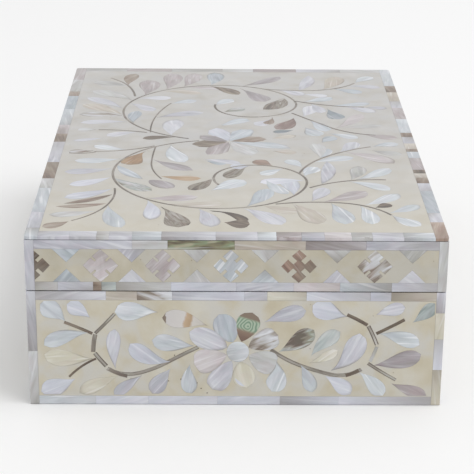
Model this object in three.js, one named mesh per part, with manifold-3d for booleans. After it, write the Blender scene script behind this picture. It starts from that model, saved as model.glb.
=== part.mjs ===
// A low rectangular keepsake box with a deep lift-off lid. Its wooden carcass is
// covered on top and all round with mother-of-pearl pieces set flush in cream resin.
// Millimetres, +Z up, front facing -Y, origin at the middle of the underside.
import * as THREE from "three";
import { mergeVertices } from "three/addons/utils/BufferGeometryUtils.js";
import Module from "manifold-3d";

const wasm = await Module();
wasm.setup();

// ---------- driving dimensions ----------
const WIDTH = 203;
const DEPTH = 305;
const HEIGHT = 89;
const SEAM_HEIGHT = 61; // where the lid parts from the base
const SEAM_GAP = 0.5; // the dark line round the box
const INLAY = 1.5; // thickness of the whole skin of shell and resin
const BED = 0.4; // resin left under the shell
const GLUE = 0.1; // glue line under the skin, and under each shell piece
const JOINT = 0.3; // hairline between neighbouring inlay pieces
const WALL = 9;
const BOARD = 6; // bottom board of the base and top board of the lid
const LIP_WIDTH = 4; // inner part of the base's rim, which stands up into the lid
const LIP_RISE = 4;
const LIP_PLAY = 0.3;
const FOOT_CLEARANCE = 0.3; // the inlay stops this far above the ground

const SIDE_BORDER = 4.5; // width of the shell strips that frame each side
const TOP_BORDER_X = 6.5;
const TOP_BORDER_Y = 7.5;
const TOP_STEM = 1.2;
const SIDE_STEM = 1.9;
const CROSS_REACH = 8; // centre of a four-lobed cross to the tip of a lobe
const CROSS_PITCH = 32.5;
const LEAF_SLIMNESS = 0.34; // width of a leaf as a share of its length
const LEAF_BACKBEND = 24; // degrees by which a leaf curls back along its stem
const FINEST = 0.06; // the smallest feature kept where pieces are joined or cut
const STEM_STEP = 24; // degrees of bend between two corners of a stem's outline

const TILE = { low: BED + GLUE, high: INLAY, grow: 0 };
const POCKET = { low: BED, high: INLAY + 1, grow: JOINT };

const carcassHalfWidth = WIDTH / 2 - INLAY - GLUE;
const carcassHalfDepth = DEPTH / 2 - INLAY - GLUE;
const carcassTop = HEIGHT - INLAY - GLUE;
const baseTop = SEAM_HEIGHT - SEAM_GAP / 2;
const lidBottom = SEAM_HEIGHT + SEAM_GAP / 2;

// ---------- finishes ----------
const finish = (color, roughness) =>
  new THREE.MeshStandardMaterial({ color, roughness, metalness: 0 });
const RESIN = finish(0xd8d0ba, 0.35);
const PEARL = finish(0xdcdee6, 0.25);
const GREY_PEARL = finish(0xb9b7bd, 0.25);
const BROWN_PEARL = finish(0x9c8579, 0.28);
const WOOD = finish(0xb58d62, 0.6);

// ---------- flat outlines ----------
const degrees = THREE.MathUtils.degToRad;
const point = (x, y) => new THREE.Vector2(x, y);
const ahead = (from, angle, distance) =>
  point(from.x + distance * Math.cos(angle), from.y + distance * Math.sin(angle));

const rectangle = (halfWidth, halfHeight) => [
  point(-halfWidth, -halfHeight),
  point(halfWidth, -halfHeight),
  point(halfWidth, halfHeight),
  point(-halfWidth, halfHeight),
];

// Walks along a stem. Each run is [length, turn in degrees], left turns positive.
function walk({ from, heading, runs }) {
  const stations = [];
  let place = point(...from);
  let angle = degrees(heading);
  let along = 0;
  stations.push({ place, angle, along });
  for (const [length, turn] of runs) {
    const steps = Math.max(1, Math.ceil(Math.abs(turn) / STEM_STEP));
    const bend = degrees(turn) / steps;
    const arc = length / steps;
    const chord = bend ? (arc * Math.sin(bend / 2)) / (bend / 2) : arc;
    for (let step = 0; step < steps; step++) {
      place = ahead(place, angle + bend / 2, chord);
      angle += bend;
      along += arc;
      stations.push({ place, angle, along });
    }
  }
  return stations;
}

// The point and direction at a distance along a walked stem.
function stationAt(stations, distance) {
  const end = stations[stations.length - 1];
  const next = stations.findIndex((s) => s.along >= distance);
  if (next === 0) return stations[0];
  if (next < 0) return end;
  const [a, b] = [stations[next - 1], stations[next]];
  const share = (distance - a.along) / (b.along - a.along);
  return {
    place: a.place.clone().lerp(b.place, share),
    angle: a.angle + share * (b.angle - a.angle),
  };
}

// A strip of even width along a stem.
function strip(stem, width, grow) {
  const stations = walk(stem);
  const half = width / 2 + grow;
  const ends = stations.length - 1;
  const side = (sign) =>
    stations.map(({ place, angle }, i) => {
      const past = i === 0 ? -grow : i === ends ? grow : 0;
      return ahead(ahead(place, angle + sign * degrees(90), half), angle, past);
    });
  return [...side(-1), ...side(1).reverse()];
}

// A curved drop: a point at its foot, widest near its far end. The widths of its
// right and left edges are lists of [share of the length, share of the full width].
function drop(foot, angle, { length, width, bend, right, left }, grow) {
  const curl = degrees(bend);
  const spine = (share) => ahead(foot, angle + (curl * share) / 2, length * share);
  const edge = (widths, sign) =>
    widths.map(([share, fullness]) => {
      const across = angle + curl * share + sign * degrees(90);
      return ahead(spine(share), across, (width / 2) * fullness + grow);
    });
  const end = ahead(spine(1), angle + curl, grow);
  const start = ahead(foot, angle, -grow);
  return [start, ...edge(right, -1), end, ...edge(left, 1).reverse()];
}

const FULL_EDGE = [
  [0.45, 0.78],
  [0.85, 0.86],
];
const SLIM_EDGE = [[0.7, 0.8]]; // the hollow side of a leaf

// A square standing on its corner with a notch cut in the middle of each side.
function cross(centre, reach, grow) {
  const notchHalf = reach * 0.1 - grow / 2;
  const notchDepth = reach * 0.3;
  const corners = [];
  for (let quarter = 0; quarter < 4; quarter++) {
    const angle = degrees(90 * quarter);
    const tip = ahead(centre, angle, reach + grow * Math.SQRT2);
    const next = ahead(centre, angle + degrees(90), reach + grow * Math.SQRT2);
    const middle = tip.clone().lerp(next, 0.5);
    const inward = angle + degrees(225);
    const along = angle + degrees(135);
    corners.push(tip, ahead(middle, along, -notchHalf));
    corners.push(ahead(middle, inward, notchDepth), ahead(middle, along, notchHalf));
  }
  return corners;
}

// An even polygon with a corner in line with each petal.
const disc = (centre, radius, sides) =>
  Array.from({ length: sides }, (_, i) =>
    ahead(centre, degrees((360 * (i + 0.5)) / sides), radius),
  );

// ---------- solids ----------
// An upright prism of an outline, as thick as a layer of the skin.
function prism(outline, { low, high }) {
  const options = { depth: high - low, bevelEnabled: false };
  const geometry = new THREE.ExtrudeGeometry(new THREE.Shape(outline), options);
  return solid(geometry.translate(0, 0, low));
}

function solid(geometry) {
  const bare = geometry.index ? geometry.toNonIndexed() : geometry;
  bare.deleteAttribute("normal");
  bare.deleteAttribute("uv");
  const merged = mergeVertices(bare, 1e-4);
  const mesh = new wasm.Mesh({
    numProp: 3,
    vertProperties: merged.attributes.position.array,
    triVerts: new Uint32Array(merged.index.array),
  });
  return new wasm.Manifold(mesh);
}

const joined = (solids) => solids.reduce((whole, piece) => whole.add(piece));

// A solid becomes a mesh once its flat faces are rid of the seams between joined pieces.
function named(name, shape, material) {
  const { vertProperties, triVerts } = shape.asOriginal().simplify(FINEST).getMesh();
  const geometry = new THREE.BufferGeometry();
  geometry.setAttribute("position", new THREE.BufferAttribute(vertProperties, 3));
  geometry.setIndex(new THREE.BufferAttribute(triVerts, 1));
  geometry.computeVertexNormals();
  const mesh = new THREE.Mesh(geometry, material);
  mesh.name = name;
  return mesh;
}

// A box between two corners, as a manifold solid.
function block(low, high) {
  const size = high.map((value, axis) => value - low[axis]);
  const middle = high.map((value, axis) => (value + low[axis]) / 2);
  return solid(new THREE.BoxGeometry(...size).translate(...middle));
}

// A centred block with the half sizes given, from one height to another.
const slab = (halfX, halfY, low, high) =>
  block([-halfX, -halfY, low], [halfX, halfY, high]);

// ---------- the wooden carcass ----------
function baseCarcass() {
  const innerX = carcassHalfWidth - WALL;
  const innerY = carcassHalfDepth - WALL;
  const rim = baseTop + (SEAM_GAP - LIP_PLAY) / 2;
  const outside = slab(carcassHalfWidth, carcassHalfDepth, 0, rim);
  const lip = slab(innerX + LIP_WIDTH, innerY + LIP_WIDTH, BOARD, rim + LIP_RISE);
  const cavity = slab(innerX, innerY, BOARD, HEIGHT);
  return outside.add(lip).subtract(cavity);
}

function lidCarcass() {
  const innerX = carcassHalfWidth - WALL;
  const innerY = carcassHalfDepth - WALL;
  const rim = lidBottom - (SEAM_GAP - LIP_PLAY) / 2;
  const rebate = LIP_WIDTH + LIP_PLAY;
  const outside = slab(carcassHalfWidth, carcassHalfDepth, rim, carcassTop);
  const cavity = slab(innerX, innerY, 0, carcassTop - BOARD);
  const seat = slab(innerX + rebate, innerY + rebate, 0, rim + LIP_RISE);
  return outside.subtract(cavity).subtract(seat);
}

// ---------- the inlay's drawing ----------
// Every stem has leaves: [distance along the stem, lean in degrees, length].
// A lean to the left of the stem's direction is positive.
// Sizes and places are in a panel's own plane, measured from its middle.
const TOP_SCROLL = {
  from: [-20, -1.5],
  heading: 195,
  runs: [[80, 75], [39, 45], [49, 45], [67.5, 90], [40, 90], [35, 90], [11, 35]],
  leaves: [
    [18, 75, 32], [36, 26, 29], [62, -52, 27], [88, 33, 32], [94, -66, 27],
    [120, 38, 30], [134, -49, 31], [162, -65, 28], [178, 55, 32], [187, -64, 31],
    [203, 57, 30], [273, -30, 24],
  ],
};
const TOP_BRANCHES = [
  {
    from: [-61.5, -81], // down the left edge to the near corner
    heading: 272,
    runs: [[55, -50]],
    leaves: [[3, -58, 28], [22, 24, 34], [27, -54, 24]],
  },
  {
    from: [-46.5, -14], // out to the left border
    heading: 202,
    runs: [[32, -20]],
    leaves: [[14, 18, 26]],
  },
  {
    from: [-45, -13], // down inside the scroll
    heading: 268,
    runs: [[58, 30]],
    leaves: [[22, 50, 31]],
  },
  {
    from: [36, -58], // up and away to the right border
    heading: 72,
    runs: [[64, -52]],
    leaves: [[30, 36, 30], [50, -66, 29]],
  },
  {
    from: [36.5, -81], // level to the right border
    heading: 43,
    runs: [[47, -50]],
    leaves: [[11, 47, 29], [27, -44, 25]],
  },
  {
    from: [2, -112.5], // along the near edge to the right corner
    heading: 24,
    runs: [[44, -28], [39, -50]],
    leaves: [[29, -72, 32], [42, 38, 30], [46, -70, 33]],
  },
];

const HOOK = [
  { from: [-70.3, -1.5], heading: 83, runs: [[10.5, 0]], leaves: [[6, -24, 19]] },
  { from: [-70, 8], heading: 47, runs: [[14, 0]], leaves: [] },
  { from: [-69.5, 8.5], heading: 157, runs: [[14, 0]], leaves: [[4, 34, 21]] },
  { from: [-66, -4], heading: 224, runs: [[20, -16]], leaves: [[6, -38, 19]] },
];
const SHORT_VINE = [
  {
    from: [-18.5, 1],
    heading: 215,
    runs: [[37, -35], [12, -45], [10, -12]],
    leaves: [[3, -38, 24], [14, -38, 26], [20, 40, 18], [36, 36, 20]],
  },
  ...HOOK,
];
const LONG_REACH = 51; // a long side's vine is longer by this much, with a wave in it
const LONG_VINE = [
  {
    from: [-18.5, 1],
    heading: 215,
    runs: [[37, -35], [13, 20], [26, -40], [13, 20], [12, -45], [10, -12]],
    leaves: [],
  },
  ...HOOK.map((stem) => ({ ...stem, from: [stem.from[0] - LONG_REACH, stem.from[1]] })),
];

// Mirrors a stem left to right or front to back.
function mirrored(stem, { acrossX = false, acrossY = false }) {
  const flips = acrossX !== acrossY ? -1 : 1;
  let { heading } = stem;
  if (acrossX) heading = 180 - heading;
  if (acrossY) heading = -heading;
  return {
    from: [stem.from[0] * (acrossX ? -1 : 1), stem.from[1] * (acrossY ? -1 : 1)],
    heading,
    runs: stem.runs.map(([length, turn]) => [length, turn * flips]),
    leaves: stem.leaves.map(([at, lean, length]) => [at, lean * flips, length]),
  };
}

// Stems and the leaves that grow from them, joined where they touch.
function vine(stems, width, layer) {
  const pieces = [];
  for (const stem of stems) {
    const stations = walk(stem);
    pieces.push(prism(strip(stem, width, layer.grow), layer));
    for (const [at, lean, length] of stem.leaves) {
      const { place, angle } = stationAt(stations, at);
      const start = angle + degrees(lean);
      const foot = ahead(place, start, -width / 2);
      const toLeft = lean > 0;
      const leaf = {
        length,
        width: length * LEAF_SLIMNESS,
        bend: toLeft ? -LEAF_BACKBEND : LEAF_BACKBEND,
        right: toLeft ? SLIM_EDGE : FULL_EDGE,
        left: toLeft ? FULL_EDGE : SLIM_EDGE,
      };
      pieces.push(prism(drop(foot, start, leaf, layer.grow), layer));
    }
  }
  return joined(pieces);
}

// Eight petals round a small disc.
function flower({ centre, heart, reach, petalWidth }, layer) {
  const middle = point(...centre);
  const pieces = [prism(disc(middle, heart + layer.grow, 8), layer)];
  const petal = {
    length: reach - heart / 2,
    width: petalWidth,
    bend: 0,
    right: FULL_EDGE,
    left: FULL_EDGE,
  };
  for (let turn = 22.5; turn < 360; turn += 45) {
    const angle = degrees(turn);
    const foot = ahead(middle, angle, heart / 2);
    pieces.push(prism(drop(foot, angle, petal, layer.grow), layer));
  }
  return joined(pieces);
}

const TOP_FLOWER = { centre: [-2, 0], heart: 2.5, reach: 22, petalWidth: 9 };
const SIDE_FLOWER = { centre: [0, -1], heart: 5.5, reach: 20.5, petalWidth: 10 };

// ---------- panels ----------
// Each panel lies in its own XY plane, with its back at z = 0 and its face at z = INLAY.
const frameAround = (halfX, halfY, borderX, borderY) =>
  slab(halfX, halfY, 0, INLAY).subtract(
    slab(halfX - borderX, halfY - borderY, -1, INLAY + 1),
  );

// The resin between the borders, with a pocket for each inlaid solid.
function ground(halfX, halfY, borderX, borderY, pockets) {
  const plate = slab(halfX - borderX - JOINT, halfY - borderY - JOINT, 0, INLAY);
  return pockets.reduce((rest, pocket) => rest.subtract(pocket), plate);
}

function topPanel() {
  const [halfX, halfY] = [WIDTH / 2, DEPTH / 2];
  const borders = [TOP_BORDER_X, TOP_BORDER_Y];
  const nearStems = [TOP_SCROLL, ...TOP_BRANCHES];
  const farStems = nearStems.map((stem) => mirrored(stem, { acrossY: true }));
  const hole = flower(TOP_FLOWER, POCKET);
  const run = (stems, layer) => vine(stems, TOP_STEM, layer);
  const near = run(nearStems, TILE).subtract(hole);
  const far = run(farStems, TILE).subtract(hole);
  const pockets = [hole, run(nearStems, POCKET), run(farStems, POCKET)];
  const panel = new THREE.Group();
  panel.add(
    named("lid_top_border", frameAround(halfX, halfY, ...borders), PEARL),
    named("lid_top_ground", ground(halfX, halfY, ...borders, pockets), RESIN),
    named("lid_top_flower", flower(TOP_FLOWER, TILE), GREY_PEARL),
    named("lid_top_near_vine", largest(near), PEARL),
    named("lid_top_far_vine", largest(far), PEARL),
  );
  panel.position.z = carcassTop + GLUE;
  return panel;
}

// Cutting a vine back from the flower can leave a sliver, so the main body is kept.
function largest(shape) {
  const bodies = shape.decompose();
  return bodies.reduce((a, b) => (b.volume() > a.volume() ? b : a));
}

function basePanel(side, halfX, stems) {
  const [low, high] = [FOOT_CLEARANCE, baseTop];
  const halfY = (high - low) / 2;
  const borders = [SIDE_BORDER, SIDE_BORDER];
  const otherWay = stems.map((stem) => mirrored(stem, { acrossX: true }));
  const hole = flower(SIDE_FLOWER, POCKET);
  const run = (drawing, layer) => vine(drawing, SIDE_STEM, layer);
  const pockets = [hole, run(stems, POCKET), run(otherWay, POCKET)];
  const panel = new THREE.Group();
  const add = (name, shape, material) =>
    panel.add(named(`base_${side}_${name}`, shape, material));
  add("border", frameAround(halfX, halfY, ...borders), PEARL);
  add("ground", ground(halfX, halfY, ...borders, pockets), RESIN);
  add("flower", flower(SIDE_FLOWER, TILE), GREY_PEARL);
  add("left_vine", largest(run(stems, TILE).subtract(hole)), PEARL);
  add("right_vine", largest(run(otherWay, TILE).subtract(hole)), PEARL);
  panel.position.z = (low + high) / 2;
  return panel;
}

// A lid side: a row of crosses, with half crosses between them on both borders.
function lidPanel(side, halfX, carved) {
  const [low, high] = [lidBottom, HEIGHT - INLAY - JOINT];
  const halfY = (high - low) / 2;
  const borders = [SIDE_BORDER, SIDE_BORDER];
  const inside = slab(halfX - SIDE_BORDER, halfY - SIDE_BORDER, 0, INLAY);
  const panel = new THREE.Group();
  let border = frameAround(halfX, halfY, ...borders);
  const pockets = [];
  const place = (centre, onBorder) => {
    const piece = prism(cross(centre, CROSS_REACH, 0), TILE);
    pockets.push(prism(cross(centre, CROSS_REACH, JOINT), POCKET));
    if (onBorder) border = border.add(piece.intersect(inside));
    return piece;
  };
  const columns = carved ? Math.round((2 * halfX) / CROSS_PITCH) : -1;
  for (let column = 0; column <= columns; column++) {
    const x = (column - columns / 2) * CROSS_PITCH;
    const atEnd = column === 0 || column === columns;
    const piece = place(point(x, 0), atEnd);
    const shell = column % 2 ? PEARL : BROWN_PEARL;
    if (!atEnd) panel.add(named(`lid_${side}_cross_${column}`, piece, shell));
    if (column === columns) continue;
    const edge = halfY - SIDE_BORDER;
    place(point(x + CROSS_PITCH / 2, -edge), true);
    place(point(x + CROSS_PITCH / 2, edge), true);
  }
  panel.add(named(`lid_${side}_border`, border, PEARL));
  panel.add(named(`lid_${side}_ground`, ground(halfX, halfY, ...borders, pockets), RESIN));
  panel.position.z = (low + high) / 2;
  return panel;
}

// Stands a flat panel upright and turns it to face one side of the box.
function facing(panel, turn, distance) {
  const upright = new THREE.Group();
  upright.add(...panel.children);
  upright.rotation.x = degrees(90);
  upright.position.set(0, INLAY - distance, panel.position.z);
  const turned = new THREE.Group();
  turned.add(upright);
  turned.rotation.z = degrees(turn);
  return turned;
}

// ---------- the box ----------
const box = new THREE.Group();
box.add(named("base_carcass", baseCarcass(), WOOD));
box.add(named("lid_carcass", lidCarcass(), WOOD));
box.add(topPanel());

const frontHalf = WIDTH / 2;
const sideHalf = DEPTH / 2 - INLAY - JOINT; // the long sides fit between front and back
const SIDES = [
  { side: "front", turn: 0, half: frontHalf, distance: DEPTH / 2, stems: SHORT_VINE },
  { side: "back", turn: 180, half: frontHalf, distance: DEPTH / 2, stems: SHORT_VINE },
  { side: "left", turn: -90, half: sideHalf, distance: WIDTH / 2, stems: LONG_VINE },
  { side: "right", turn: 90, half: sideHalf, distance: WIDTH / 2, stems: LONG_VINE },
];
for (const { side, turn, half, distance, stems } of SIDES) {
  const plain = stems.map((stem) => ({ ...stem, leaves: [] }));
  const drawn = side === "front" ? stems : plain;
  box.add(facing(basePanel(side, half, drawn), turn, distance));
  box.add(facing(lidPanel(side, half, side === "front"), turn, distance));
}

export default box;
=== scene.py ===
"""An inlaid keepsake box: every sawn shell tile, the resin grounds they lie in, the wood
inside, and a plain studio round it. Panels are drawn flat, in millimetres."""

import math
import random
from collections import namedtuple
from functools import partial

import bmesh
import bpy
from mathutils import Matrix, Vector
from mathutils.geometry import delaunay_2d_cdt


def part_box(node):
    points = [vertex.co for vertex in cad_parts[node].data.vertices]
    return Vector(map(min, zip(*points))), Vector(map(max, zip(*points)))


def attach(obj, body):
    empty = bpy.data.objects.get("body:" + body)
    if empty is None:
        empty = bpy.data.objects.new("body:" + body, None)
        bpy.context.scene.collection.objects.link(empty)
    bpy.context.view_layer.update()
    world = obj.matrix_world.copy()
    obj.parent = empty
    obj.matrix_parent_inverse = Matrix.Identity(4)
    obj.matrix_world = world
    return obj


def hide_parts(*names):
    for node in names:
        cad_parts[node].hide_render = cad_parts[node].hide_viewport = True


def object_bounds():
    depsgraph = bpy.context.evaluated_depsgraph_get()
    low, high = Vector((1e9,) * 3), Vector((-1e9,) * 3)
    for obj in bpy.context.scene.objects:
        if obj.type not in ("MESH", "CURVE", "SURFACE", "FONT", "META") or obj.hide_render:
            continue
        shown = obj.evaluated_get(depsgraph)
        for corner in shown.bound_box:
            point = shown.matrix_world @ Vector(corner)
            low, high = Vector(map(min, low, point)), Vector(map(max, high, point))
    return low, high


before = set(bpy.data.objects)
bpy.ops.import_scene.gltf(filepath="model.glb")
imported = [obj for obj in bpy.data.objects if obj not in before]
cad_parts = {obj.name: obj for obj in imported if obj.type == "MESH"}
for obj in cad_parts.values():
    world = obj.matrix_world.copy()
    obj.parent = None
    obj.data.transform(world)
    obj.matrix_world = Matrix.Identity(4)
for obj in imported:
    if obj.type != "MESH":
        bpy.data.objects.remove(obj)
cad_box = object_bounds()

MM = 0.001
HALF_WIDTH, HALF_DEPTH, TOP = Vector(cad_box[1]) / MM
BASE_LOW, BASE_HIGH = (corner.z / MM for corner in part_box("base_front_border"))
LID_LOW, LID_HIGH = (corner.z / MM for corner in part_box("lid_front_border"))
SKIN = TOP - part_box("lid_top_border")[0].z / MM  # shell and resin together
LONG_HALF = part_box("base_left_border")[1].y / MM  # half the length of a long side

SHELL_THICKNESS = 1.0  # sawn shell blanks, bedded on the rest of the skin as resin
EDGE = 0.05  # the corner of a tile, worn round by the last sanding
CRACK = 0.04  # glue line between a tile and the resin round it
JOINT = 0.02  # border strips are butted closer than that
RESIN_SUNK = 0.015  # resin sands down a little faster than shell

# Widths of the frames of strips and of the stems.
SIDE_BORDER = 4.5
TOP_BORDER_SIDE = 6.5
TOP_BORDER_NEAR = 7.5
TOP_STEM = 1.25
SIDE_STEM = 1.9


# ---------- finishes ----------
def linear(hex_colour):
    """An sRGB hex colour as linear red, green, blue and alpha."""
    values = [int(hex_colour[i : i + 2], 16) / 255 for i in (1, 3, 5)]
    curve = [v / 12.92 if v <= 0.04045 else ((v + 0.055) / 1.055) ** 2.4 for v in values]
    return (*curve, 1.0)


def plug(node, sockets):
    """Gives sockets, by name or number, a value or the output that feeds them."""
    for socket, value in sockets.items():
        if isinstance(value, bpy.types.NodeSocket):
            node.id_data.links.new(value, node.inputs[socket])
        else:
            node.inputs[socket].default_value = value


def add_node(tree, kind, sockets, **settings):
    """Adds a shader node with its settings, and plugs its sockets."""
    node = tree.nodes.new("ShaderNode" + kind)
    for key, value in settings.items():
        setattr(node, key, value)
    plug(node, sockets)
    return node


def set_ramp(node, stops):
    """Fills a colour ramp from (position, hex colour) pairs and gives its output."""
    elements = node.color_ramp.elements
    while len(elements) < len(stops):
        elements.new(0.5)
    for element, (position, colour) in zip(elements, stops):
        element.position = position
        element.color = linear(colour)
    return node.outputs[0]


def new_material(name):
    """A material, what adds a node to it, and its Principled node."""
    material = bpy.data.materials.new(name)
    material.use_nodes = True
    tree = material.node_tree
    return material, partial(add_node, tree), tree.nodes["Principled BSDF"]


MIX_A, MIX_B, MIXED = 6, 7, 2  # the colour sockets of a Mix node


def lay_tints(add, colour, tints):
    """Lays tints over a colour, one after another. Each has the value that brings it
    in, where that starts and ends, the tint's share at both, and its hex colour."""
    for value, start, end, share_at_start, share_at_end, tint in tints:
        sockets = {"Value": value, "From Min": start, "From Max": end}
        sockets |= {"To Min": share_at_start, "To Max": share_at_end}
        share = add("MapRange", sockets, clamp=True).outputs[0]
        sockets = {0: share, MIX_A: colour, MIX_B: linear(tint)}
        colour = add("Mix", sockets, data_type="RGBA").outputs[MIXED]
    return colour


# Shell is aragonite, which bends light strongly; it is sanded, buffed and lacquered,
# so a soft sheen lies over colours that drift along the grain of each blank.
SHELL_FINISH = {"Roughness": 0.3, "IOR": 1.53, "Coat Weight": 0.25, "Coat Roughness": 0.18}
# Patterns in shell: run along the grain and width across it in mm, detail, waviness.
GROWTH_BANDS = (15.0, 3.2, 2.0, 0.5)  # broad cloudy bands
FINE_LINES = (21.0, 0.55, 3.0, 0.2)  # growth lines, drawn as coarse as they can be seen
HUE_CLOUDS = (9.0, 4.5, 1.0, 0.8)
# The narrow streaks of painted highlight, painted reflections off the nacre.
PAINTED_GLINT_STREAKS = (22.0, 1.6, 0.0, 0.3)
MIDDLE = 0.5  # of a noise, a tone, a tile's length or a colour ramp
CONTRAST = 2.2  # widens a noise, which keeps near its middle, to the whole ramp
USUAL_PLACES = (0.1, 0.5, 0.95)


def tile_maps(add):
    """A tile's map on its blank in mm, the share from foot to tip, and its rim."""
    cut = add("UVMap", {}, uv_map="cut").outputs["UV"]
    lie = add("UVMap", {}, uv_map="lie").outputs["UV"]
    along, rim, _ = add("SeparateXYZ", {0: lie}).outputs
    return cut, along, rim


def shell_material(
    name, colours, places=USUAL_PLACES, band=0.5, fine=0.12, drift=0.2, painted_glint=0.25, rainbow=0.14, spread=0.4
):
    """Sawn and polished shell, in colours from deep to pale. band, fine, drift and
    spread are how strongly the cloudy bands, the fine lines, the way from foot to tip
    and the tile's own tone decide between them. The glint share is painted highlight,
    bright streaks of painted reflection; rainbow is the share of the hues over it."""
    material, add, surface = new_material(name)
    cut, along, rim = tile_maps(add)
    tone = add("Attribute", {}, attribute_name="tone").outputs["Fac"]

    def pattern(run, width, detail, waviness):
        stretched = add("Mapping", {"Vector": cut, "Scale": (1 / run, 1 / width, 1)})
        sockets = {"Vector": stretched.outputs[0], "Scale": 1, "Detail": detail, "Distortion": waviness}
        return add("TexNoise", sockets).outputs["Fac"]

    shade = MIDDLE  # each pattern moves it away from there by its weight
    for value, weight in (
        (pattern(*GROWTH_BANDS), band * CONTRAST),
        (pattern(*FINE_LINES), fine * CONTRAST),
        (tone, spread),
        (along, drift),
    ):
        for operation, term in (("SUBTRACT", MIDDLE), ("MULTIPLY", weight), ("ADD", shade)):
            value = add("Math", {0: value, 1: term}, operation=operation).outputs[0]
        shade = value
    colour = set_ramp(add("ValToRGB", {"Fac": shade}), list(zip(places, colours)))

    # Pale rose, green and blue clouds of mother-of-pearl, far weaker than the shade.
    hue = set_ramp(
        add("ValToRGB", {"Fac": pattern(*HUE_CLOUDS)}),
        [(0.32, "#E3C9D6"), (0.45, "#D9D6E6"), (0.55, "#D2E3EA"), (0.68, "#DCE9D4")],
    )
    sockets = {0: rainbow, MIX_A: colour, MIX_B: hue}
    tinted = add("Mix", sockets, data_type="RGBA", blend_type="SOFT_LIGHT")

    # Narrow bright streaks, painted highlights that stand for light reflected where the
    # layers of the shell lie at a slant, and a darker edge on one side of most tiles,
    # where the shell's brown skin was left on.
    colour = lay_tints(add, tinted.outputs[MIXED], [
        (pattern(*PAINTED_GLINT_STREAKS), 0.62, 0.74, 0, painted_glint, "#F4F5F8"),
        (rim, 0, 1, 0, 0.75, "#7E7569"),
    ])
    plug(surface, {"Base Color": colour, **SHELL_FINISH})
    return material


RING_PITCH = 1.57  # mm from one green ring to the next
WAVE_PITCH = 0.314  # from ring to ring of the wave node when its scale is 1


def ringed_abalone_material():
    """Abalone from beside the muscle scar: green rings, brown towards both ends. Its
    tiles have their rings' centre at the origin of their cut map."""
    material, add, surface = new_material("ringed_abalone_shell")
    cut, along, _ = tile_maps(add)
    wave = {"Scale": WAVE_PITCH / RING_PITCH, "Distortion": 11.0, "Detail": 1.0, "Detail Scale": 0.7}
    rings = add("TexWave", {"Vector": cut, **wave}, wave_type="RINGS", rings_direction="Z")
    green, ends, share = (
        set_ramp(add("ValToRGB", {"Fac": value}), stops)
        for value, stops in (
            (rings.outputs["Fac"], [(0.1, "#728B77"), (0.5, "#90A690"), (0.9, "#AAB8A4")]),
            (along, [
                (0.15, "#735B4E"), (0.38, "#8A7563"), (0.45, "#9AA48C"), (0.72, "#9AAB92"), (0.8, "#7F6F60"),
            ]),
            (along, [(0.33, "#FFFFFF"), (0.46, "#303030"), (0.7, "#303030"), (0.8, "#FFFFFF")]),
        )
    )
    mixed = add("Mix", {0: share, MIX_A: green, MIX_B: ends}, data_type="RGBA")
    plug(surface, {"Base Color": mixed.outputs[MIXED], **SHELL_FINISH})
    return material


BAND_WAVES = 3 / 10  # waves of the orange band's edges in each mm across the tile
BAND_WANDER = 0.14  # how far they go, as a share of the tile's length


def banded_material():
    """Cream lip shell sawn across one orange band, brown at both ends of the tile."""
    material, add, surface = new_material("banded_lip_shell")
    cut, along, _ = tile_maps(add)
    noise = add("TexNoise", {"Vector": cut, "Scale": BAND_WAVES, "Detail": 2.0})
    sockets = {0: noise.outputs["Fac"], 1: BAND_WANDER, 2: along}
    place = add("Math", sockets, operation="MULTIPLY_ADD").outputs[0]
    colour = set_ramp(add("ValToRGB", {"Fac": place}), [
        (0.08, "#A09486"), (0.2, "#C2BDB6"), (0.4, "#CBC6C0"), (0.45, "#AE9475"),
        (0.55, "#BBA286"), (0.6, "#CDC9C6"), (0.99, "#C6C2C0"), (1.0, "#7F7163"),
    ])
    plug(surface, {"Base Color": colour, **SHELL_FINISH})
    return material


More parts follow.
